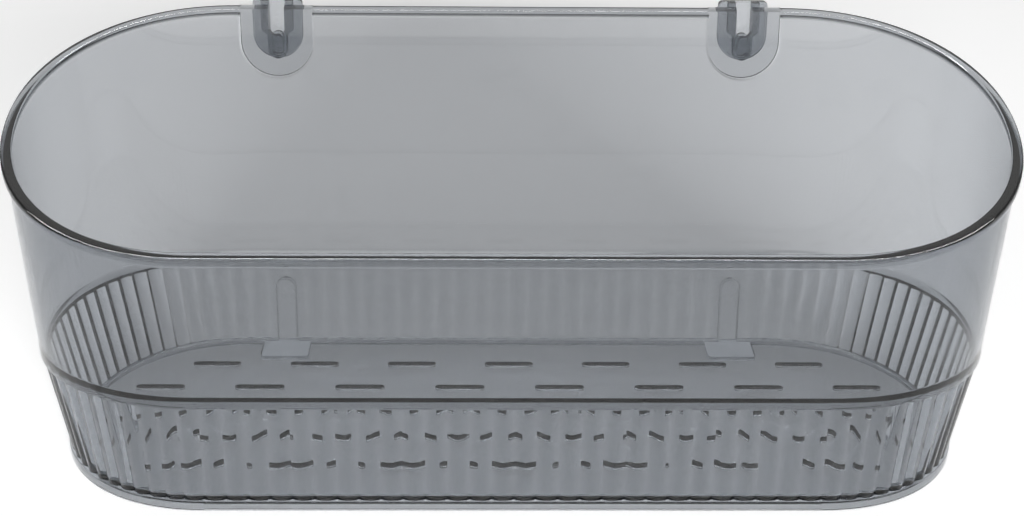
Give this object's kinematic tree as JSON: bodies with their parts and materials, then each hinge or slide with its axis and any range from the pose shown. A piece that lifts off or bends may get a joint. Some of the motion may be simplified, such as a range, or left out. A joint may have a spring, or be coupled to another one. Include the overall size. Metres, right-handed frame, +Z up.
{
  "type": "shower shelf",
  "caption": "Clear smoke plastic wall basket with a sloping rim, fluted foot and slotted floor, hung by studs on glued wall hooks.",
  "frame": {"origin": "centre of the bounding box's bottom face, in the plane that the foot ring stands on", "axes": "+X to the right as seen from the front, +Y from the front towards the wall, +Z up"},
  "size_m": [0.3, 0.1314, 0.1206],
  "materials": {
    "basket_plastic": "clear smoke tint, polished",
    "hook_plastic": "clear smoke tint, polished",
    "adhesive": "translucent, satin"
  },
  "bodies": {
    "basket": {"basket": "basket_plastic"},
    "hook_left": {"wall_hook_left": "hook_plastic", "adhesive_pad_left": "adhesive"},
    "hook_right": {"wall_hook_right": "hook_plastic", "adhesive_pad_right": "adhesive"}
  },
  "joints": [
    {"name": "hook_left_slide", "type": "slide", "parent": "basket", "child": "hook_left", "axis": [0, 0, -1], "range_m": [0, 0.018]},
    {"name": "hook_right_slide", "type": "slide", "parent": "basket", "child": "hook_right", "axis": [0, 0, -1], "range_m": [0, 0.018]}
  ]
}
